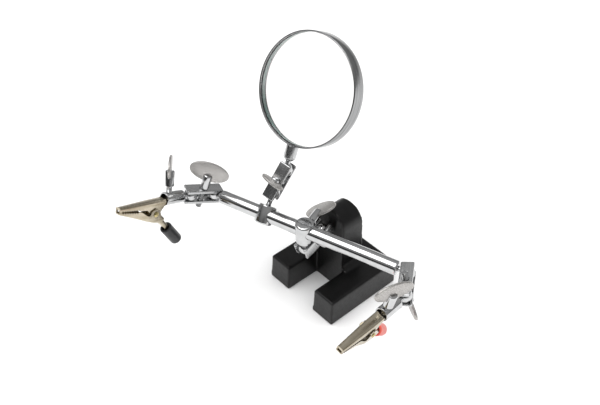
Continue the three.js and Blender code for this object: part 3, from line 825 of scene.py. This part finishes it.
def assemble():
    base_casting()
    bar_line = line("bar_slide")
    base_ball, tee_ball = spot("base_twist"), spot("sleeve_swing")
    tee = spot("sleeve_wing_turn")
    tee_axis = (tee - tee_ball).normalized()
    ball_stud("base_ball_stud", STUD_REACH["base"], frame_at(base_ball, Vector((0, 1, 0)), UP),
              "base_ball_stud")
    ball_joint("base", "left", "right", base_ball, tee_ball)
    ball_stud("tee_ball_stud", STUD_REACH["tee"], frame_at(tee_ball, tee_axis, bar_line),
              "tee_ball_stud")
    bar_sleeve("tee_sleeve", TEE, -1, True, frame_at(tee, -tee_axis, bar_line))
    wing_bolt("tee_clamp", FULL_WING, CLAMP["start"], CLAMP["seat"], WING_TURN["tee"],
              frame_at(tee, line("sleeve_wing_turn"), bar_line), "tee_wing_bolt")
    cross_bar(frame_at(tee, bar_line, UP))

    collar, collar_ball = spot("collar_wing_turn"), spot("collar_twist")
    collar_axis = (collar_ball - collar).normalized()
    bar_sleeve("magnifier_collar", COLLAR, 1, False, frame_at(collar, collar_axis, bar_line))
    wing_bolt("collar_clamp", FULL_WING, CLAMP["start"], CLAMP["seat"], WING_TURN["collar"],
              frame_at(collar, line("collar_wing_turn"), bar_line), "collar_wing_bolt")
    ball_stud("collar_ball_stud", STUD_REACH["collar"],
              frame_at(collar_ball, -collar_axis, bar_line), "collar_ball_stud")

    lens_ball, lens_up = spot("lens_twist"), line("lens_twist")
    ball_joint("magnifier", "near", "far", collar_ball, lens_ball, SMALL_WING)
    across = (-LENS_FACE).cross(lens_up).normalized()
    ring = Matrix((across, lens_up.cross(across), lens_up)).transposed().to_4x4()
    ring.translation = lens_ball + lens_up * LENS_REACH * MM
    stem = frame_at(lens_ball, lens_up, across)
    ball_stud("lens_ball_stud", STUD_REACH["lens"], stem, "lens_ball_stud")
    magnifier(ring, stem)

    for side, near, far in (("left", "upper", "lower"), ("right", "lower", "upper")):
        bar_ball, arm_ball = spot(f"{side}_bar_end_twist"), spot(f"{side}_ferrule_twist")
        inward = bar_line if side == "left" else -bar_line
        ball_stud(f"{side}_bar_ball_stud", STUD_REACH["bar"], frame_at(bar_ball, inward, UP),
                  f"{side}_bar_ball_stud")
        ball_joint(side, near, far, bar_ball, arm_ball)
    clip_arm("left", BLACK_VINYL)
    clip_arm("right", RED_VINYL)


# ---- floor, light and camera --------------------------------------------------------------

# Azimuth, elevation and roll in degrees; focal length in millimetres; place in metres
CAMERA = {"angles": (47.386, 41.756, 0.953), "lens": 48.293, "at": (0.243456, -0.253123, 0.376803)}
# Grey against height in the room around the part, beyond the camera's side and behind it
DIM_ROOM = ((0.0, 0.04), (0.3, 0.05), (0.5, 0.28), (0.8, 0.4), (1.0, 0.5))
BRIGHT_ROOM = ((0.0, 0.22), (0.3, 0.34), (0.5, 0.36), (0.8, 0.42), (1.0, 0.5))


def floor():
    bm = bmesh.new()
    bmesh.ops.create_grid(bm, x_segments=1, y_segments=1, size=4.0)
    mesh = bpy.data.meshes.new("floor")
    bm.to_mesh(mesh)
    bm.free()
    obj = bpy.data.objects.new("floor", mesh)
    bpy.context.scene.collection.objects.link(obj)
    n = Nodes("floor_paper")
    n.set(Base_Color=(0.86, 0.86, 0.86, 1), Roughness=0.9)
    mesh.materials.append(n.material)
    obj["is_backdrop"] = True


def area_light(name, at, target, size, energy):
    data = bpy.data.lights.new(name, "AREA")
    data.shape = "RECTANGLE"
    data.size, data.size_y = size
    data.energy = energy
    obj = bpy.data.objects.new(name, data)
    bpy.context.scene.collection.objects.link(obj)
    obj.matrix_world = frame_at(Vector(at), Vector(at) - Vector(target), line("bar_slide"))
    return obj


def studio():
    """Soft boxes overhead over a dark room; the camera itself sees a plain pale backdrop."""
    world = bpy.data.worlds.new("studio")
    bpy.context.scene.world = world
    world.use_nodes = True
    tree = world.node_tree
    link = tree.links.new
    background = tree.nodes["Background"]
    direction = tree.nodes.new("ShaderNodeTexCoord").outputs["Generated"]
    split = tree.nodes.new("ShaderNodeSeparateXYZ")
    link(direction, split.inputs["Vector"])
    greys = []
    for stops in (DIM_ROOM, BRIGHT_ROOM):
        ramp = tree.nodes.new("ShaderNodeValToRGB")
        link(split.outputs["Z"], ramp.inputs["Fac"])
        elements = ramp.color_ramp.elements
        while len(elements) < len(stops):
            elements.new(0.5)
        for element, (at, value) in zip(elements, stops):
            element.position = at
            element.color = (value, value, value, 1)
        greys.append(ramp.outputs["Color"])
    behind = tree.nodes.new("ShaderNodeMapRange")
    behind.inputs["From Min"].default_value = -0.7
    behind.inputs["From Max"].default_value = -0.3
    link(split.outputs["Y"], behind.inputs["Value"])
    room = tree.nodes.new("ShaderNodeMix")
    room.data_type = "RGBA"
    link(behind.outputs["Result"], room.inputs["Factor"])
    link(greys[0], room.inputs["A"])
    link(greys[1], room.inputs["B"])
    seen = tree.nodes.new("ShaderNodeMix")
    seen.data_type = "RGBA"
    seen.inputs["B"].default_value = (1, 1, 1, 1)
    path = tree.nodes.new("ShaderNodeLightPath")
    pale = tree.nodes.new("ShaderNodeMath")
    pale.operation = "MAXIMUM"
    link(path.outputs["Is Camera Ray"], pale.inputs[0])
    link(path.outputs["Is Diffuse Ray"], pale.inputs[1])
    link(pale.outputs["Value"], seen.inputs["Factor"])
    link(room.outputs["Result"], seen.inputs["A"])
    link(seen.outputs["Result"], background.inputs["Color"])
    area_light("key", (-0.22, -0.37, 1.17), (0, 0, 0.05), (0.9, 1.15), 9.5)
    area_light("fill", (0.7, 0.6, 1.0), (0, 0, 0.05), (1.2, 1.2), 5).visible_glossy = False


def camera():
    """The photo's viewpoint, solved from the straight edges of the base and the bar."""
    azimuth, elevation, roll = (math.radians(a) for a in CAMERA["angles"])
    data = bpy.data.cameras.new("camera")
    data.lens = CAMERA["lens"]
    data.sensor_width = 36.0
    obj = bpy.data.objects.new("camera", data)
    bpy.context.scene.collection.objects.link(obj)
    back = Vector((math.sin(azimuth) * math.cos(elevation),
                   -math.cos(azimuth) * math.cos(elevation), math.sin(elevation)))
    obj.rotation_mode = "QUATERNION"
    turn = (-back).to_track_quat("-Z", "Y").to_matrix() @ Matrix.Rotation(roll, 3, "Z")
    obj.rotation_quaternion = turn.to_quaternion()
    obj.location = CAMERA["at"]
    data.clip_start, data.clip_end = 0.01, 20
    bpy.context.scene.camera = obj


assemble()
floor()
studio()
camera()
bpy.context.scene.view_settings.view_transform = "Standard"

boxes = {"cad": cad_box, "visual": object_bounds()}
{k: [list(low), list(high)] for k, (low, high) in boxes.items()}
